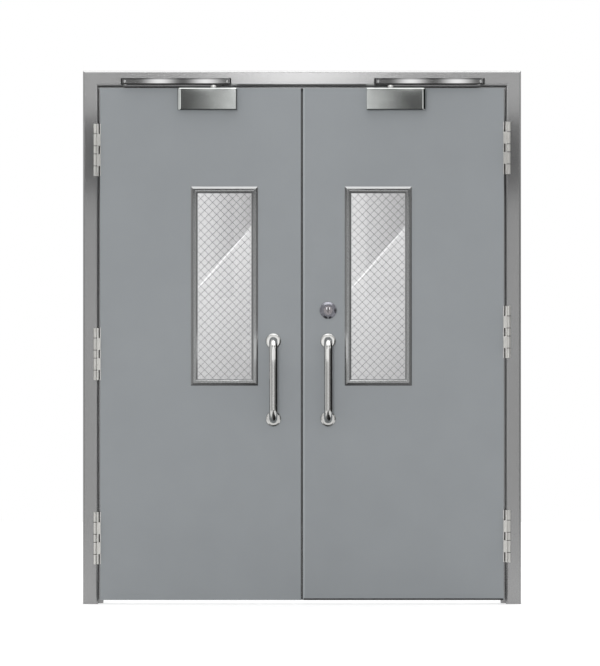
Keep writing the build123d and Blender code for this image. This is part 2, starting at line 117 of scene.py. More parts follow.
def add_node(tree, kind, inputs=None, **settings):
    """Adds a node, sets its properties, and sets or links its input sockets."""
    node = tree.nodes.new(kind)
    for name, value in settings.items():
        setattr(node, name, value)
    for socket, value in (inputs or {}).items():
        if isinstance(value, bpy.types.NodeSocket):
            tree.links.new(value, node.inputs[socket])
        else:
            node.inputs[socket].default_value = value
    return node


def new_material(name):
    """A material with an empty node tree, and that tree."""
    material = bpy.data.materials.new(name)
    material.use_nodes = True
    material.node_tree.nodes.clear()
    return material, material.node_tree


def finish_material(tree, shader):
    """Links a shader to the material's output."""
    add_node(tree, "ShaderNodeOutputMaterial", {"Surface": shader})


def seen_directly(tree):
    """A socket that is 1 where the camera, a reflection or clear glass looks at the surface."""
    path = add_node(tree, "ShaderNodeLightPath")
    either = add_node(
        tree,
        "ShaderNodeMath",
        {0: path.outputs["Is Camera Ray"], 1: path.outputs["Is Glossy Ray"]},
        operation="MAXIMUM",
    )
    any_of_them = add_node(
        tree,
        "ShaderNodeMath",
        {0: either.outputs["Value"], 1: path.outputs["Is Transmission Ray"]},
        operation="MAXIMUM",
    )
    return any_of_them.outputs["Value"]


def per_metre(size_mm):
    """The noise scale whose features are about this many millimetres across."""
    return 1000 / size_mm


# Settings that a user would change
class FireDoorSizes(bpy.types.PropertyGroup):
    wire_pitch: bpy.props.FloatProperty(
        name="Wire Pitch",
        description="Diagonal of one diamond of the wire mesh in the glass",
        default=0.0318,
        unit="LENGTH",
    )
    wire_thickness: bpy.props.FloatProperty(
        name="Wire Thickness",
        description="Diameter of the mesh wire, drawn a little heavy so that it shows",
        default=0.0014,
        unit="LENGTH",
    )
    seal_reach: bpy.props.FloatProperty(
        name="Seal Reach",
        description="How far each meeting seal stands into the gap between the leaves",
        default=0.0038,
        unit="LENGTH",
    )
    hinge_ring: bpy.props.FloatProperty(
        name="Hinge Ring",
        description="Height of the bearing rings between the hinge knuckles",
        default=0.0024,
        unit="LENGTH",
    )
    screw_head: bpy.props.FloatProperty(
        name="Screw Head",
        description="Diameter of the countersunk screw heads in the hinge plates",
        default=0.009,
        unit="LENGTH",
    )
    bar_trim: bpy.props.FloatProperty(
        name="Bar Trim",
        description="Width of the black trim at each end of a closer bar",
        default=0.0065,
        unit="LENGTH",
    )
    bar_screw_head: bpy.props.FloatProperty(
        name="Bar Screw Head",
        description="Diameter of the clamp screws near the ends of the closer bars",
        default=0.0105,
        unit="LENGTH",
    )


class FireDoorColours(bpy.types.PropertyGroup):
    leaf: bpy.props.StringProperty(
        name="Leaf", description="Powder coat of the leaves, sRGB hex", default="8d9194"
    )
    frame: bpy.props.StringProperty(
        name="Frame", description="Paint of the folded frame, sRGB hex", default="979797"
    )
    moulding: bpy.props.StringProperty(
        name="Moulding", description="Polished steel round the glass, sRGB hex", default="939494"
    )
    handle: bpy.props.StringProperty(
        name="Handle", description="Satin steel of handles and collars, sRGB hex", default="bebebc"
    )
    hinge: bpy.props.StringProperty(
        name="Hinge", description="Satin nickel of the hinges, sRGB hex", default="d2d1cd"
    )
    closer: bpy.props.StringProperty(
        name="Closer", description="Polished nickel of the closer housings, sRGB hex", default="abaeac"
    )
    bar: bpy.props.StringProperty(
        name="Bar", description="Chrome plate of the closer arms, sRGB hex", default="b4b4b4"
    )
    lever: bpy.props.StringProperty(
        name="Lever", description="Dark plate of the closer levers, sRGB hex", default="6e6e6e"
    )
    glass: bpy.props.StringProperty(
        name="Glass", description="Tint of the wired glass, sRGB hex", default="dededf"
    )
    lock: bpy.props.StringProperty(
        name="Lock", description="Hardened steel of the lock's guard ring, sRGB hex", default="76767c"
    )
    plug: bpy.props.StringProperty(
        name="Plug", description="Nickelled brass of the lock's plug, sRGB hex", default="8f8b8e"
    )
    rib: bpy.props.StringProperty(
        name="Lock Rib", description="Bright nickel beside the keyway, sRGB hex", default="f2f2f4"
    )
    wire: bpy.props.StringProperty(
        name="Wire", description="Steel wire inside the glass, sRGB hex", default="242527"
    )
    # Rubber also makes the black strip under the right leaf, which is painted shadow, and the black block
    # in the keyway, which is painted shade
    rubber: bpy.props.StringProperty(
        name="Rubber", description="Meeting and bottom seals, sRGB hex", default="141415"
    )


class FireDoorStage(bpy.types.PropertyGroup):
    view_height: bpy.props.FloatProperty(
        name="View Height",
        description="Height of the picture measured on the door's face",
        default=2.653,
        unit="LENGTH",
    )
    view_centre: bpy.props.FloatVectorProperty(
        name="View Centre",
        description="Point on the door's face at the middle of the picture",
        default=(0.832, -0.055, 1.080),
        subtype="XYZ",
        unit="LENGTH",
    )
    camera_distance: bpy.props.FloatProperty(
        name="Camera Distance",
        description="Distance from the camera to the door's face",
        default=14.0,
        unit="LENGTH",
    )
    ambient: bpy.props.FloatProperty(
        name="Ambient", description="Strength of the even light from all round", default=0.60
    )
    key_power: bpy.props.FloatProperty(
        name="Key Power", description="Power of the lamp in front of the door", default=450.0, unit="POWER"
    )
    back_power: bpy.props.FloatProperty(
        name="Back Power", description="Power of the lamp behind the door", default=420.0, unit="POWER"
    )
    top_power: bpy.props.FloatProperty(
        name="Top Power", description="Power of the soft light overhead", default=130.0, unit="POWER"
    )
    softbox: bpy.props.FloatProperty(
        name="Softbox", description="Strength of the cards that the head and bars mirror", default=5.3
    )
    sky_card: bpy.props.FloatProperty(
        name="Sky Card", description="Strength of the high card that upward edges mirror", default=2.5
    )
    glare: bpy.props.FloatProperty(
        name="Glare", description="Strength of the slanted light behind the panes", default=1.08
    )
    left_card: bpy.props.FloatProperty(
        name="Left Card", description="Strength of the grey card at the left", default=0.9
    )


# Finishes
def powder_coat(colour):
    """Polyester powder coat: satin, faintly mottled, with a fine orange-peel skin and a painted highlight
    along the right leaf's meeting edge.
    """
    material, tree = new_material("powder_coated_steel")
    place = add_node(tree, "ShaderNodeTexCoord").outputs["Object"]
    mottle = add_node(
        tree, "ShaderNodeTexNoise", {"Vector": place, "Scale": per_metre(180), "Detail": 3.0}
    )
    tone = add_node(
        tree,
        "ShaderNodeMix",
        {"Factor": mottle.outputs["Fac"], "A": linear(colour), "B": linear(LEAF_PALE)},
        data_type="RGBA",
    )
    # Painted highlight: a strip along the right leaf's meeting edge is a little lighter, standing in for
    # the light that its bend catches.
    across = add_node(tree, "ShaderNodeSeparateXYZ", {0: place}).outputs["X"]
    painted_highlight = add_node(
        tree,
        "ShaderNodeMath",
        {0: across, 1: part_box("right_leaf")[0].x + EDGE_HIGHLIGHT_WIDTH / 3, 2: EDGE_HIGHLIGHT_WIDTH * 2 / 3},
        operation="COMPARE",
    )
    tone = add_node(
        tree,
        "ShaderNodeMix",
        {"Factor": painted_highlight.outputs["Value"], "A": tone.outputs["Result"], "B": linear(LEAF_EDGE_HIGHLIGHT)},
        data_type="RGBA",
    )
    # Real orange peel is about 1 mm across; 4 mm is the finest that shows here.
    peel = add_node(tree, "ShaderNodeTexNoise", {"Vector": place, "Scale": per_metre(4), "Detail": 2.0})
    bump = add_node(
        tree,
        "ShaderNodeBump",
        {"Height": peel.outputs["Fac"], "Strength": 0.04, "Distance": 0.0005},
    )
    shader = add_node(
        tree,
        "ShaderNodeBsdfPrincipled",
        {
            "Base Color": tone.outputs["Result"],
            "Roughness": 0.5,
            "IOR": 1.48,
            "Normal": bump.outputs["Normal"],
        },
    )
    finish_material(tree, shader.outputs["BSDF"])
    return material


def frame_paint(colour):
    """Aluminium-flake paint on folded steel: greyer than the leaf, with a soft sheen."""
    material, tree = new_material("flake_painted_steel")
    place = add_node(tree, "ShaderNodeTexCoord").outputs["Object"]
    # Real flakes are about 0.05 mm across; 3 mm is the finest cloudiness that shows here.
    flake = add_node(tree, "ShaderNodeTexNoise", {"Vector": place, "Scale": per_metre(3), "Detail": 2.0})
    rough = add_node(
        tree,
        "ShaderNodeMapRange",
        {"Value": flake.outputs["Fac"], "To Min": 0.20, "To Max": 0.22},
    )
    shader = add_node(
        tree,
        "ShaderNodeBsdfPrincipled",
        {
            "Base Color": linear(colour),
            "Metallic": 0.8,
            "Roughness": rough.outputs["Result"],
            "IOR": 1.48,
        },
    )
    finish_material(tree, shader.outputs["BSDF"])
    return material


def plated_steel(name, colour, roughness, grain_mm, spread):
    """Polished or satin metal: fine drawn grain that varies its roughness along the piece."""
    material, tree = new_material(name)
    place = add_node(tree, "ShaderNodeTexCoord").outputs["Object"]
    # Real grain is about 0.1 mm wide; it is drawn wider so that it shows, and 25 times as long as wide.
    stretch = add_node(tree, "ShaderNodeMapping", {"Vector": place, "Scale": (1.0, 1.0, 1 / 25)})
    grain = add_node(
        tree,
        "ShaderNodeTexNoise",
        {"Vector": stretch.outputs["Vector"], "Scale": per_metre(grain_mm), "Detail": 3.0},
    )
    rough = add_node(
        tree,
        "ShaderNodeMapRange",
        {
            "Value": grain.outputs["Fac"],
            "To Min": roughness - spread,
            "To Max": roughness + spread,
        },
    )
    shader = add_node(
        tree,
        "ShaderNodeBsdfPrincipled",
        {
            "Base Color": linear(colour),
            "Metallic": 1.0,
            "Roughness": rough.outputs["Result"],
        },
    )
    finish_material(tree, shader.outputs["BSDF"])
    return material


def closer_plate(colour):
    """Polished nickel plate on a cast housing: mirror-like, with a faint haze in its tone."""
    material, tree = new_material("polished_nickel")
    place = add_node(tree, "ShaderNodeTexCoord").outputs["Object"]
    haze = add_node(tree, "ShaderNodeTexNoise", {"Vector": place, "Scale": per_metre(60), "Detail": 2.0})
    tone = add_node(
        tree,
        "ShaderNodeMix",
        {"Factor": haze.outputs["Fac"], "A": linear(colour), "B": linear(CLOSER_HAZE)},
        data_type="RGBA",
    )
    shader = add_node(
        tree,
        "ShaderNodeBsdfPrincipled",
        {"Base Color": tone.outputs["Result"], "Metallic": 1.0, "Roughness": 0.045},
    )
    finish_material(tree, shader.outputs["BSDF"])
    return material


def wired_glass(colour):
    """Polished wired glass: clear and flat, faintly grey through its thickness."""
    material, tree = new_material("polished_wired_glass")
    place = add_node(tree, "ShaderNodeTexCoord").outputs["Object"]
    # Rolled plate varies a little in tone over a hand's breadth.
    draw = add_node(tree, "ShaderNodeTexNoise", {"Vector": place, "Scale": per_metre(120), "Detail": 1.0})
    tone = add_node(
        tree,
        "ShaderNodeMix",
        {"Factor": draw.outputs["Fac"], "A": linear(colour), "B": linear(GLASS_PALE)},
        data_type="RGBA",
    )
    shader = add_node(
        tree,
        "ShaderNodeBsdfPrincipled",
        {
            "Base Color": tone.outputs["Result"],
            "Roughness": 0.0,
            "IOR": 1.5,
            "Transmission Weight": 0.92,
        },
    )
    finish_material(tree, shader.outputs["BSDF"])
    return material


def seal_rubber(colour):
    """Black extruded rubber: dull, with patches a little smoother where it was handled."""
    material, tree = new_material("extruded_rubber")
    place = add_node(tree, "ShaderNodeTexCoord").outputs["Object"]
    patch = add_node(tree, "ShaderNodeTexNoise", {"Vector": place, "Scale": per_metre(8), "Detail": 2.0})
    rough = add_node(
        tree,
        "ShaderNodeMapRange",
        {"Value": patch.outputs["Fac"], "To Min": 0.6, "To Max": 0.8},
    )
    shader = add_node(
        tree,
        "ShaderNodeBsdfPrincipled",
        {"Base Color": linear(colour), "Roughness": rough.outputs["Result"], "IOR": 1.5},
    )
    finish_material(tree, shader.outputs["BSDF"])
    return material


# Mesh helpers
def new_piece(name, mesh_maker, material, body):
    """Turns a finished bmesh into a piece at the origin that rides on a body."""
    mesh = bpy.data.meshes.new(name)
    mesh_maker.to_mesh(mesh)
    mesh_maker.free()
    piece = bpy.data.objects.new(name, mesh)
    bpy.context.scene.collection.objects.link(piece)
    mesh.materials.append(material)
    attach(piece, body)
    return piece


def add_block(mesh_maker, low, high, round_edges=0.0):
    """Adds a box between two corners, its edges rounded if asked."""
    size = Vector(high) - Vector(low)
    middle = (Vector(high) + Vector(low)) / 2
    matrix = Matrix.Translation(middle) @ Matrix.Diagonal((*size, 1))
    made = bmesh.ops.create_cube(mesh_maker, size=1, matrix=matrix)
    if round_edges:
        edges = list({edge for vert in made["verts"] for edge in vert.link_edges})
        bmesh.ops.bevel(
            mesh_maker,
            geom=edges,
            offset=round_edges,
            affect="EDGES",
            segments=2,
            profile=0.5,
            material=-1,
        )


def add_screw_head(mesh_maker, centre, facing, diameter, rise):
    """Adds a raised screw head with a round socket that faces along a direction."""
    turn = Vector((0, 0, 1)).rotation_difference(Vector(facing)).to_matrix().to_4x4()
    place = Matrix.Translation(Vector(centre)) @ turn
    made = bmesh.ops.create_cone(
        mesh_maker,
        cap_ends=True,
        segments=20,
        radius1=diameter / 2,
        radius2=diameter * 0.38,
        depth=rise,
        matrix=place @ Matrix.Translation((0, 0, rise / 2)),
    )
    mesh_maker.normal_update()
    faces = {face for vert in made["verts"] for face in vert.link_faces}
    cap = max(faces, key=lambda face: face.normal.dot(Vector(facing)) * face.calc_area())
    bmesh.ops.inset_individual(mesh_maker, faces=[cap], thickness=diameter * 0.16, depth=-rise * 0.6)


def add_collar(mesh_maker, centre, bottom, top, bore, radius):
    """Adds an upright ring with a rounded rim, spun from its section."""
    soft = (radius - bore) / 3
    section = [
        (bore, bottom),
        (radius - soft, bottom),
        (radius, bottom + soft),
        (radius, top - soft),
        (radius - soft, top),
        (bore, top),
    ]
    corners = [mesh_maker.verts.new((centre[0] + x, centre[1], z)) for x, z in section]
    face = mesh_maker.faces.new(corners)
    bmesh.ops.spin(
        mesh_maker,
        geom=[face, *face.edges, *face.verts],
        cent=(centre[0], centre[1], 0),
        axis=(0, 0, 1),
        angle=2 * pi,
        steps=32,
        use_merge=True,
    )
    bmesh.ops.remove_doubles(mesh_maker, verts=mesh_maker.verts[:], dist=1e-6)
    bmesh.ops.recalc_face_normals(mesh_maker, faces=mesh_maker.faces[:])


def add_mesh(mesh_maker, part):
    """Moves a finished part into the mesh of its group."""
    data = bpy.data.meshes.new("part")
    part.to_mesh(data)
    part.free()
    mesh_maker.from_mesh(data)
    bpy.data.meshes.remove(data)


FINISHES = {}


class FIREDOOR_OT_finishes(bpy.types.Operator):
    """Gives every solid of the door its finish"""

    bl_idname = "firedoor.finishes"
    bl_label = "Door Finishes"

    def execute(self, context):
        colours = context.scene.fire_door_colours
        FINISHES["leaf_paint"] = powder_coat(colours.leaf)
        FINISHES["frame_paint"] = frame_paint(colours.frame)
        FINISHES["closer_housing"] = closer_plate(colours.closer)
        FINISHES["wired_glass"] = wired_glass(colours.glass)
        FINISHES["rubber"] = seal_rubber(colours.rubber)
        for slot, name, colour, roughness, grain, spread in METALS:
            FINISHES[slot] = plated_steel(name, getattr(colours, colour), roughness, grain, spread)
        for part in frame["record"]["subparts"]:
            node = NODES[part["node"]]
            node.data.materials.clear()
            node.data.materials.append(FINISHES[part["material_slot"]])
        return {"FINISHED"}


class FIREDOOR_OT_glass_wires(bpy.types.Operator):
    """Lays the diamond wire mesh inside both panes"""

    bl_idname = "firedoor.glass_wires"
    bl_label = "Glass Wires"

    def execute(self, context):
        sizes = context.scene.fire_door_sizes
        for side in SIDES:
            low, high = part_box(side + "_vision_glass")
            mesh = bmesh.new()
            centre = (low + high) / 2
            reach = (high - low).length
            step = sizes.wire_pitch / 2 ** 0.5
            count = int(reach / step / 2)
            for lean in (-1, 1):
                turn = Matrix.Rotation(radians(45 * lean), 4, "Y")
                for index in range(-count, count + 1):
                    shift = Matrix.Translation((index * step, lean * sizes.wire_thickness / 2, 0))
                    bmesh.ops.create_cone(
                        mesh,
                        cap_ends=False,
                        segments=6,
                        radius1=sizes.wire_thickness / 2,
                        radius2=sizes.wire_thickness / 2,
                        depth=reach,
                        matrix=Matrix.Translation(centre) @ turn @ shift,
                    )
            margin = Vector((0.001, 0, 0.001))
            for point, outward in (
                (low + margin, (-1, 0, 0)),
                (low + margin, (0, 0, -1)),
                (high - margin, (1, 0, 0)),
                (high - margin, (0, 0, 1)),
            ):
                everything = mesh.verts[:] + mesh.edges[:] + mesh.faces[:]
                cut = bmesh.ops.bisect_plane(
                    mesh, geom=everything, plane_co=point, plane_no=outward, clear_outer=True
                )
                rim = [item for item in cut["geom_cut"] if isinstance(item, bmesh.types.BMEdge)]
                bmesh.ops.holes_fill(mesh, edges=rim, sides=0)
            new_piece(side + "_glass_wires", mesh, FINISHES["mesh_wire"], side + "_leaf")
        return {"FINISHED"}


class FIREDOOR_OT_lock_face(bpy.types.Operator):
    """Adds a black block inside the keyway as painted shade, and the two guide ribs beside it"""

    bl_idname = "firedoor.lock_face"
    bl_label = "Lock Face"

    def execute(self, context):
        shade_block_half = Vector((0.0015, 0, 0.0085))
        shade_block_front = 0.0012
        shade_block_back = 0.005
        rib_away = 0.0056
        rib_half = 0.0021
        rib_bottom = 0.0028
        rib_top = 0.0118
        rib_root = 0.0004
        rib_rise = 0.0009
        for place, outward in (("front", -1), ("back", 1)):
            low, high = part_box("lock_plug_" + place)
            face = low.y if outward < 0 else high.y
            x = (low.x + high.x) / 2
            z = (low.z + high.z) / 2
            # A near-black block inside the keyway: painted shade for the depth of the slot
            depths = sorted((face - outward * shade_block_back, face - outward * shade_block_front))
            shade_block = bmesh.new()
            add_block(
                shade_block,
                Vector((x, depths[0], z)) - shade_block_half,
                Vector((x, depths[1], z)) + shade_block_half,
                round_edges=0.0004,
            )
            new_piece("lock_keyway_shade_" + place, shade_block, FINISHES["rubber"], "right_leaf")
            depths = sorted((face - outward * rib_root, face + outward * rib_rise))
            ribs = bmesh.new()
            for middle in (x - rib_away, x + rib_away):
                add_block(
                    ribs,
                    (middle - rib_half, depths[0], z + rib_bottom),
                    (middle + rib_half, depths[1], z + rib_top),
                    round_edges=0.0006,
                )
            new_piece("lock_ribs_" + place, ribs, FINISHES["bright_rib"], "right_leaf")
        return {"FINISHED"}


class FIREDOOR_OT_seals(bpy.types.Operator):
    """Adds the soft blades on the meeting edges, and a black strip under the right leaf that is painted
    shadow
    """

    bl_idname = "firedoor.seals"
    bl_label = "Seals"

    def execute(self, context):
        reach = context.scene.fire_door_sizes.seal_reach
        near_face = 0.006
        far_face = 0.012
        short = 0.0002
        for side in SIDES:
            low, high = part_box(side + "_leaf")
            edge = high.x if side == "left" else low.x
            tip = edge + reach if side == "left" else edge - reach
            mesh = bmesh.new()
            add_block(
                mesh,
                (min(edge, tip), low.y + near_face, low.z + short),
                (max(edge, tip), low.y + far_face, high.z - short),
                round_edges=0.0008,
            )
            new_piece(side + "_meeting_seal", mesh, FINISHES["rubber"], side + "_leaf")
        # A black strip along the foot of the right leaf's face: painted shadow under the leaf
        shadow_strip_front = 0.002
        shadow_strip_root = 0.001
        shadow_strip_height = 0.0065
        low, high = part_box("right_leaf")
        shadow_strip = bmesh.new()
        add_block(
            shadow_strip,
            (low.x + 0.002, low.y - shadow_strip_front, low.z + short),
            (high.x - 0.004, low.y + shadow_strip_root, low.z + shadow_strip_height),
            round_edges=0.0006,
        )
        new_piece("right_bottom_shadow_strip", shadow_strip, FINISHES["rubber"], "right_leaf")
        return {"FINISHED"}


class FIREDOOR_OT_hinge_rings(bpy.types.Operator):
    """Adds the dark bearing rings over the joints between the hinge knuckles"""

    bl_idname = "firedoor.hinge_rings"
    bl_label = "Hinge Rings"

    def execute(self, context):
        half = context.scene.fire_door_sizes.hinge_ring / 2
        clearance = 0.0001
        wall = 0.0005
        for joint in frame["record"]["behaviour"]["joints"]:
            side = joint["name"].removesuffix("_leaf_swing")
            if side not in SIDES:
                continue
            axis = Vector(joint["pos_m"])
            rings = bmesh.new()
            for place in HINGE_PLACES:
                low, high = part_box(side + "_" + place + "_hinge_frame_half")
                bore = axis.y - low.y + clearance
                for share in KNUCKLE_ENDS:
                    z = low.z + share * (high.z - low.z)
                    ring = bmesh.new()
                    add_collar(ring, axis, z - half, z + half, bore, bore + wall)
                    add_mesh(rings, ring)
            new_piece(side + "_hinge_rings", rings, FINISHES["rubber"], "frame")
        return {"FINISHED"}


class FIREDOOR_OT_screws(bpy.types.Operator):
    """Adds the screw heads in the hinge plates and the closer bars"""

    bl_idname = "firedoor.screws"
    bl_label = "Screws"

    def execute(self, context):
        sizes = context.scene.fire_door_sizes
        for side in SIDES:
            self.add_bar_screws(side, sizes.bar_screw_head)
            self.add_plate_screws(side, sizes.screw_head)
        return {"FINISHED"}

    def add_bar_screws(self, side, diameter):
        from_end = 0.016
        above_middle = 0.001
        rise = 0.0015
        low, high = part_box(side + "_closer_forearm")
        z = (low.z + high.z) / 2 + above_middle
        mesh = bmesh.new()
        for x in (low.x + from_end, high.x - from_end):
            add_screw_head(mesh, (x, low.y, z), (0, -1, 0), diameter, rise)
        new_piece(side + "_bar_screws", mesh, FINISHES["polished_arm"], side + "_forearm")

    def add_plate_screws(self, side, diameter):
        rise = 0.0006
        outward = -1 if side == "left" else 1
        leaf_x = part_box(side + "_leaf")[0 if side == "left" else 1].x
        frame_plates = bmesh.new()
        leaf_plates = bmesh.new()
        for place in HINGE_PLACES:
            low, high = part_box(side + "_" + place + "_hinge_frame_half")
            frame_x = high.x if side == "left" else low.x
            leaf_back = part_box(side + "_" + place + "_hinge_leaf_half")[1].y
            for share, depth in PLATE_SCREWS:
                z = low.z + share * (high.z - low.z)
                frame_spot = (frame_x, high.y - depth, z)
                leaf_spot = (leaf_x, leaf_back - depth, z)
                add_screw_head(frame_plates, frame_spot, (-outward, 0, 0), diameter, rise)
                add_screw_head(leaf_plates, leaf_spot, (outward, 0, 0), diameter, rise)
        steel = FINISHES["hinge_steel"]
        new_piece(side + "_frame_hinge_screws", frame_plates, steel, "frame")
        new_piece(side + "_leaf_hinge_screws", leaf_plates, steel, side + "_leaf")


class FIREDOOR_OT_bar_trims(bpy.types.Operator):
    """Adds the black trims at the ends of the closer bars and the collars round the spindles"""

    bl_idname = "firedoor.bar_trims"
    bl_label = "Bar Trims"

    def execute(self, context):
        width = context.scene.fire_door_sizes.bar_trim
        for side in SIDES:
            self.add_trims(side, width)
            self.add_spindle_collar(side)
        return {"FINISHED"}

    def add_trims(self, side, width):
        half_depth = 0.0008
        low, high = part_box(side + "_closer_forearm")
        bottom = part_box(side + "_closer_shoe")[0].z
        trims = bmesh.new()
        for start in (low.x, high.x - width):
            add_block(
                trims,
                (start, low.y - half_depth, bottom),
                (start + width, low.y + half_depth, high.z),
                round_edges=0.0004,
            )
        new_piece(side + "_bar_trims", trims, FINISHES["rubber"], side + "_forearm")

    def add_spindle_collar(self, side):
        over_housing = 0.0012
        clearance = 0.0002
        wall = 0.003
        low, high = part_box(side + "_closer_main_arm")
        housing_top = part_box(side + "_closer_body")[1].z
        # The spindle stands as far from the lever's inner end as the lever's root is round.
        root = (high.y - low.y) / 2
        spindle = (high.x - root if side == "left" else low.x + root, (low.y + high.y) / 2)
        bore = root + clearance
        collar = bmesh.new()
        add_collar(collar, spindle, housing_top + over_housing, high.z - clearance, bore, bore + wall)
        steel = FINISHES["satin_handle"]
        new_piece(side + "_spindle_collar", collar, steel, side + "_main_arm")


# Studio
# Cards are placed from the middle of the picture, in metres, and this far in front of the door
CARD_Y = -3.95
# Cards that stand on both sides: name, place on the right, size, strength
PAIRED_CARDS = (
    # The closers' outer rounded ends mirror a light one, and their lower edges a dark one.
    ("closer_edge_card", (1.37, CARD_Y + 0.01, 1.143), (1.40, 0, 0.20), 1.7),
    ("closer_low_flag", (0.56, -1.0, 0.765), (0.90, 0, 0.32), 0.08),
    # The lower jambs and the undersides of the mouldings
    ("jamb_card", (1.06, CARD_Y, -0.75), (0.42, 0, 1.3), 0.72),
    ("low_card", (0.485, -2.2, -1.075), (0.53, 5.4, 0), 0.30),
)
# Cards that stand once, which the tubes, knuckles and mouldings mirror: the same columns
SINGLE_CARDS = (
    ("right_grey", (1.85, -3.0, -0.09), (0.9, 0, 2.22), 0.3),
    ("right_dark", (3.8, -3.0, -0.09), (3.0, 0, 2.22), 0.40),
    ("left_grey", (-2.95, -3.0, -0.09), (3.1, 0, 2.22), 0.52),
    ("low_flag", (0, -2.2, -1.075), (0.44, 5.4, 0), 0.05),
)
# Bands of the bar cards: their middle from the card's, half their spacing, their half width
BAND_SHIFT = 0.042
BAND_AWAY = 0.1175
BAND_WIDTH = 0.11
# The slanted edge of the light behind a pane: its slope, its height at the middle, half its rim's width
SLANT_SLOPE = 1.15
SLANT_LEVEL = 0.113
SLANT_RIM = 0.0045


def add_light(name, place, target, width, height, power):
    """Adds a rectangular soft light that points at a target."""
    light = bpy.data.lights.new(name, "AREA")
    light.shape = "RECTANGLE"
    light.size = width
    light.size_y = height
    light.energy = power
    lamp = bpy.data.objects.new(name, light)
    bpy.context.scene.collection.objects.link(lamp)
    lamp.location = place
    lamp.rotation_euler = (Vector(target) - Vector(place)).to_track_quat("-Z", "Y").to_euler()
    lamp.visible_camera = False
    return lamp


def add_sheet(name, mesh_maker, material):
    """Turns a bmesh into a part of the stage."""
    data = bpy.data.meshes.new(name)
    mesh_maker.to_mesh(data)
    mesh_maker.free()
    data.materials.append(material)
    sheet = bpy.data.objects.new(name, data)
    bpy.context.scene.collection.objects.link(sheet)
    return sheet


def make_card(name, centre, size, strength):
    """Adds a flat card that only reflections see. One of its three sizes is 0."""
    if size[0] and size[1]:
        turn = Matrix.Identity(4)
        spread = (size[0], size[1])
    elif size[0]:
        turn = Matrix.Rotation(radians(90), 4, "X")
        spread = (size[0], size[2])
    else:
        turn = Matrix.Rotation(radians(-90), 4, "Y")
        spread = (size[2], size[1])
    mesh = bmesh.new()
    matrix = Matrix.Translation(centre) @ turn @ Matrix.Diagonal((*spread, 1, 1))
    bmesh.ops.create_grid(mesh, x_segments=1, y_segments=1, size=0.5, matrix=matrix)
    material, tree = new_material(name)
    glow = add_node(tree, "ShaderNodeEmission", {"Strength": strength}, name="glow")
    finish_material(tree, glow.outputs["Emission"])
    # Sharp reflections find the card by themselves, and with less grain.
    material.cycles.emission_sampling = "NONE"
    card = add_sheet(name, mesh, material)
    card.visible_camera = False
    card.visible_diffuse = False
    card.visible_shadow = False
    card.visible_transmission = False
    return card


def make_flag(name, centre, size, strength):
    """Adds a dark card that only first reflections see, and only from its front."""
    flag = make_card(name, centre, size, strength)
    tree, glow = card_glow(flag)
    depth = add_node(tree, "ShaderNodeLightPath").outputs["Ray Depth"]
    again = add_node(tree, "ShaderNodeMath", {0: depth, 1: 1.5}, operation="GREATER_THAN")
    behind = add_node(tree, "ShaderNodeNewGeometry").outputs["Backfacing"]
    hidden = add_node(tree, "ShaderNodeMath", {0: again.outputs["Value"], 1: behind}, operation="MAXIMUM")
    clear = add_node(tree, "ShaderNodeBsdfTransparent")
    mix = add_node(
        tree,
        "ShaderNodeMixShader",
        {"Fac": hidden.outputs["Value"], 1: glow.outputs["Emission"], 2: clear.outputs["BSDF"]},
    )
    output = next(node for node in tree.nodes if node.type == "OUTPUT_MATERIAL")
    tree.links.new(mix.outputs["Shader"], output.inputs["Surface"])


def card_glow(card):
    """The node tree of a card and the node that makes its light."""
    tree = card.data.materials[0].node_tree
    return tree, tree.nodes["glow"]


def card_axes(tree):
    """A node that gives the place on a card as X, Y and Z."""
    place = add_node(tree, "ShaderNodeTexCoord").outputs["Object"]
    return add_node(tree, "ShaderNodeSeparateXYZ", {0: place})


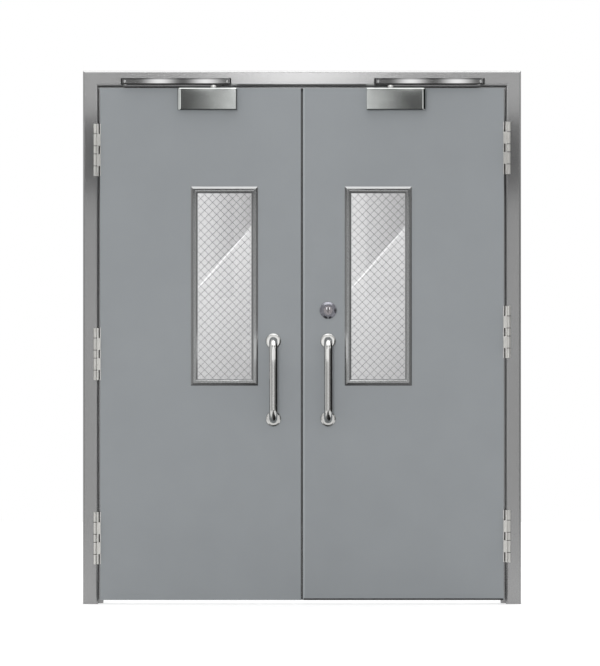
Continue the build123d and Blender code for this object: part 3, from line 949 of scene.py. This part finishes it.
class FIREDOOR_OT_stage(bpy.types.Operator):
    """Sets up the floor, the light and the camera"""

    bl_idname = "firedoor.stage"
    bl_label = "Studio Stage"

    def execute(self, context):
        stage = context.scene.fire_door_stage
        centre = Vector(stage.view_centre)
        self.make_world(context, stage)
        self.make_floor(centre)
        self.make_lamps(stage, centre)
        self.make_front_cards(stage, centre)
        self.make_side_cards(stage, centre)
        for side in SIDES:
            self.make_glare(side, stage)
            self.make_handle_cards(side)
            self.make_closer_flags(side)
        self.make_camera(context, stage, centre)
        context.scene.view_settings.view_transform = "Standard"
        return {"FINISHED"}

    def make_world(self, context, stage):
        world = bpy.data.worlds.new("studio")
        world.use_nodes = True
        tree = world.node_tree
        tree.nodes.clear()
        even = add_node(tree, "ShaderNodeBackground", {"Color": (1, 1, 1, 1), "Strength": stage.ambient})
        white = add_node(tree, "ShaderNodeBackground", {"Color": (1, 1, 1, 1), "Strength": 1.0})
        mix = add_node(
            tree,
            "ShaderNodeMixShader",
            {"Fac": seen_directly(tree), 1: even.outputs["Background"], 2: white.outputs["Background"]},
        )
        add_node(tree, "ShaderNodeOutputWorld", {"Surface": mix.outputs["Shader"]})
        context.scene.world = world

    def make_floor(self, centre):
        half_width = 12
        under_door = 0.0005
        mesh = bmesh.new()
        bmesh.ops.create_grid(
            mesh,
            x_segments=1,
            y_segments=1,
            size=half_width,
            matrix=Matrix.Translation((centre.x, -half_width / 2, CAD_BOX[0][2] - under_door)),
        )
        # Pale paper: the camera sees it white, and a shadow still falls on it.
        material, tree = new_material("pale_paper")
        matt = add_node(tree, "ShaderNodeBsdfDiffuse", {"Color": linear("d2d2d2")})
        glow = add_node(tree, "ShaderNodeEmission", {"Strength": 0.56})
        dark = add_node(tree, "ShaderNodeEmission", {"Strength": 0.0})
        lift = add_node(
            tree,
            "ShaderNodeMixShader",
            {"Fac": seen_directly(tree), 1: dark.outputs["Emission"], 2: glow.outputs["Emission"]},
        )
        both = add_node(tree, "ShaderNodeAddShader", {0: matt.outputs["BSDF"], 1: lift.outputs["Shader"]})
        finish_material(tree, both.outputs["Shader"])
        add_sheet("studio_floor", mesh, material)

    def make_lamps(self, stage, centre):
        in_front = centre + Vector((-1.2, -11.5, 1.2))
        key = add_light("key_light", in_front, centre, 1.3, 1.3, stage.key_power)
        at_back = centre + Vector((1.5, 11.5, 1.2))
        back = add_light("back_light", at_back, centre, 3.0, 3.0, stage.back_power)
        # Polished pieces and panes mirror the cards and not the lamps' squares.
        for lamp in (key, back):
            lamp.visible_glossy = False
            lamp.visible_transmission = False
        overhead = Vector((centre.x, 0.5, 5.0))
        add_light("top_light", overhead, overhead - Vector((0, 0, 1)), 5.0, 2.5, stage.top_power)

    def make_front_cards(self, stage, centre):
        """Adds the cards in front, where the flat faces at the top of the door mirror them."""
        make_card("head_softbox", centre + Vector((0, CARD_Y, 1.70)), (0.68, 0, 0.88), stage.softbox)
        for side, toward in (("left", -1), ("right", 1)):
            bar = centre + Vector((toward * 0.64, CARD_Y, 1.28))
            self.make_bar_card(side, bar, (0.60, 0, 2.20), stage.softbox * 0.34)
            closer = centre + Vector((toward * 0.47, CARD_Y + 0.01, 1.143))
            self.make_closer_card(side, closer, (0.40, 0, 0.20), toward)
            for name, place, size, strength in PAIRED_CARDS:
                x, y, z = place
                make_card(side + "_" + name, centre + Vector((toward * x, y, z)), size, strength)

    def make_side_cards(self, stage, centre):
        """Adds the cards above and beside the door, which its edges and tubes mirror."""
        make_card("sky_card", centre + Vector((0, -2.8, 3.1)), (5.0, 4.4, 0), stage.sky_card)
        make_card("left_card", centre + Vector((-4.5, -0.5, 0.4)), (0, 7.0, 4.0), stage.left_card)
        make_flag("right_flag", centre + Vector((4.0, -1.4, 0.0)), (0, 2.2, 2.2), 0.03)
        for name, place, size, strength in SINGLE_CARDS:
            make_card(name, centre + Vector(place), size, strength)

    def make_bar_card(self, side, centre, size, brightest):
        """Adds the card with two soft bright bands that a closer bar mirrors."""
        tree, glow = card_glow(make_card(side + "_bar_card", centre, size, 1.0))
        axes = card_axes(tree)
        # Distance from the nearer of the two bands
        middle = centre.x + BAND_SHIFT
        away = add_node(tree, "ShaderNodeMath", {0: axes.outputs["X"], 1: middle}, operation="SUBTRACT")
        away = add_node(tree, "ShaderNodeMath", {0: away.outputs["Value"]}, operation="ABSOLUTE")
        away = away.outputs["Value"]
        away = add_node(tree, "ShaderNodeMath", {0: away, 1: BAND_AWAY}, operation="SUBTRACT")
        away = add_node(tree, "ShaderNodeMath", {0: away.outputs["Value"]}, operation="ABSOLUTE")
        band = add_node(
            tree,
            "ShaderNodeMapRange",
            {
                "Value": away.outputs["Value"],
                "From Max": BAND_WIDTH,
                "To Min": brightest,
                "To Max": 0.24,
            },
            interpolation_type="SMOOTHSTEP",
        )
        # The bar's bevelled shoulders mirror the card's top and bottom, which are dimmer.
        height = add_node(tree, "ShaderNodeMath", {0: axes.outputs["Z"], 1: centre.z}, operation="SUBTRACT")
        height = add_node(tree, "ShaderNodeMath", {0: height.outputs["Value"]}, operation="ABSOLUTE")
        fade = add_node(
            tree,
            "ShaderNodeMapRange",
            {
                "Value": height.outputs["Value"],
                "From Min": 0.25,
                "From Max": 0.6,
                "To Min": 1.0,
                "To Max": 0.42,
            },
        )
        level = add_node(
            tree,
            "ShaderNodeMath",
            {0: band.outputs["Result"], 1: fade.outputs["Result"]},
            operation="MULTIPLY",
        )
        tree.links.new(level.outputs["Value"], glow.inputs["Strength"])

    def make_closer_card(self, side, centre, size, toward):
        """Adds the card, dark outside and light inside, that a closer's front mirrors."""
        tree, glow = card_glow(make_card(side + "_closer_card", centre, size, 1.0))
        level = add_node(
            tree,
            "ShaderNodeMapRange",
            {
                "Value": card_axes(tree).outputs["X"],
                "From Min": centre.x + toward * 0.115,
                "From Max": centre.x - toward * 0.17,
                "To Min": 0.16,
                "To Max": 1.0,
            },
            interpolation_type="SMOOTHSTEP",
        )
        tree.links.new(level.outputs["Result"], glow.inputs["Strength"])

    def make_handle_cards(self, side):
        """Adds a dark wing beside one handle, a glint for its upper bend and a dark card under it."""
        low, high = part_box(side + "_pull_handle")
        foot = low.z + 0.04
        head = high.z - 0.012
        wing = Vector((high.x + 0.023, (low.y + high.y) / 2, (foot + head) / 2))
        make_flag(side + "_handle_wing", wing, (0, high.y - low.y, head - foot), 0.03)
        glint = Vector(((low.x + high.x) / 2 - 0.04, low.y - 0.15, high.z - 0.045))
        make_card(side + "_handle_glint", glint, (0.18, 0, 0.10), 1.6)
        under = Vector((high.x + 0.015, low.y - 0.01, low.z - 0.03))
        make_flag(side + "_handle_under_flag", under, (0.06, 0.10, 0), 0.02)

    def make_closer_flags(self, side):
        """Adds dark strips off one closer's right and lower edges, which those edges mirror."""
        reach = 0.09
        away = 0.02
        low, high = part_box(side + "_closer_body")
        middle = (low + high) / 2
        deep = low.y + 0.012 - reach / 2
        beside = Vector((high.x + away, deep, middle.z))
        make_flag(side + "_closer_side_flag", beside, (0, reach, high.z - low.z), 0.02)
        below = Vector((middle.x, deep, low.z - away))
        make_flag(side + "_closer_under_flag", below, (high.x - low.x, reach, 0), 0.02)

    def make_glare(self, side, stage):
        """Adds the card behind one pane whose slanted light edge shows through the glass."""
        behind = 0.6
        low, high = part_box(side + "_vision_glass")
        pane = (low + high) / 2
        eye = Vector(stage.view_centre)
        spread = 1 + behind / stage.camera_distance
        place = Vector((eye.x + (pane.x - eye.x) * spread, 0, eye.z + (pane.z - eye.z) * spread))
        card = make_card(
            side + "_glare_card",
            Vector((place.x, eye.y + behind, place.z)),
            ((high.x - low.x) * spread * 1.1, 0, (high.z - low.z) * spread * 1.05),
            1.0,
        )
        card.visible_transmission = True
        card.visible_glossy = False
        # Across the pane: bright at the left above the slant, bright under the slant, thin rim on it
        tree, glow = card_glow(card)
        within = add_node(
            tree,
            "ShaderNodeMapping",
            {
                "Vector": add_node(tree, "ShaderNodeTexCoord").outputs["Object"],
                "Location": -place / spread,
                "Scale": (1 / spread, 1 / spread, 1 / spread),
            },
        )
        axes = add_node(tree, "ShaderNodeSeparateXYZ", {0: within.outputs["Vector"]})
        slant = add_node(
            tree,
            "ShaderNodeMath",
            {0: axes.outputs["X"], 1: -SLANT_SLOPE, 2: axes.outputs["Z"]},
            operation="MULTIPLY_ADD",
        )
        above = add_node(
            tree,
            "ShaderNodeMapRange",
            {
                "Value": axes.outputs["X"],
                "From Min": -0.11,
                "From Max": 0.11,
                "To Min": stage.glare,
                "To Max": stage.glare * 0.54,
            },
        )
        below = add_node(
            tree,
            "ShaderNodeMapRange",
            {
                "Value": slant.outputs["Value"],
                "From Min": -0.5,
                "From Max": SLANT_LEVEL,
                "To Min": stage.glare * 0.58,
                "To Max": stage.glare,
            },
        )
        over = add_node(
            tree,
            "ShaderNodeMath",
            {0: slant.outputs["Value"], 1: SLANT_LEVEL},
            operation="GREATER_THAN",
        )
        fill = add_node(
            tree,
            "ShaderNodeMix",
            {"Factor": over.outputs["Value"], "A": below.outputs["Result"], "B": above.outputs["Result"]},
        )
        rim = add_node(
            tree,
            "ShaderNodeMath",
            {0: slant.outputs["Value"], 1: SLANT_LEVEL, 2: SLANT_RIM},
            operation="COMPARE",
        )
        strength = add_node(
            tree,
            "ShaderNodeMath",
            {0: rim.outputs["Value"], 1: stage.glare * 0.5, 2: fill.outputs["Result"]},
            operation="MULTIPLY_ADD",
        )
        tree.links.new(strength.outputs["Value"], glow.inputs["Strength"])

    def make_camera(self, context, stage, centre):
        camera_data = bpy.data.cameras.new("front_camera")
        camera_data.sensor_width = 36
        camera_data.lens = camera_data.sensor_width * stage.camera_distance / stage.view_height
        camera_data.clip_end = 100
        camera = bpy.data.objects.new("front_camera", camera_data)
        context.scene.collection.objects.link(camera)
        camera.location = centre + Vector((0, -stage.camera_distance, 0))
        camera.rotation_euler = (radians(90), 0, 0)
        context.scene.camera = camera


class FIREDOOR_PT_panel(bpy.types.Panel):
    """Lists the steps that dress the door"""

    bl_idname = "FIREDOOR_PT_panel"
    bl_label = "Fire Door"
    bl_space_type = "VIEW_3D"
    bl_region_type = "UI"
    bl_category = "Fire Door"

    def draw(self, context):
        for step in STEPS:
            self.layout.operator(step.bl_idname)


STEPS = (
    FIREDOOR_OT_finishes,
    FIREDOOR_OT_glass_wires,
    FIREDOOR_OT_lock_face,
    FIREDOOR_OT_seals,
    FIREDOOR_OT_hinge_rings,
    FIREDOOR_OT_screws,
    FIREDOOR_OT_bar_trims,
    FIREDOOR_OT_stage,
)
SETTINGS = {
    "fire_door_sizes": FireDoorSizes,
    "fire_door_colours": FireDoorColours,
    "fire_door_stage": FireDoorStage,
}


def register():
    for group in SETTINGS.values():
        bpy.utils.register_class(group)
    for name, group in SETTINGS.items():
        setattr(bpy.types.Scene, name, bpy.props.PointerProperty(type=group))
    for step in STEPS:
        bpy.utils.register_class(step)
    bpy.utils.register_class(FIREDOOR_PT_panel)


def unregister():
    bpy.utils.unregister_class(FIREDOOR_PT_panel)
    for step in reversed(STEPS):
        bpy.utils.unregister_class(step)
    for name in SETTINGS:
        delattr(bpy.types.Scene, name)
    for group in SETTINGS.values():
        bpy.utils.unregister_class(group)


def main():
    register()
    bpy.ops.firedoor.finishes()
    bpy.ops.firedoor.glass_wires()
    bpy.ops.firedoor.lock_face()
    bpy.ops.firedoor.seals()
    bpy.ops.firedoor.hinge_rings()
    bpy.ops.firedoor.screws()
    bpy.ops.firedoor.bar_trims()
    bpy.ops.firedoor.stage()


if __name__ == "__main__":
    main()
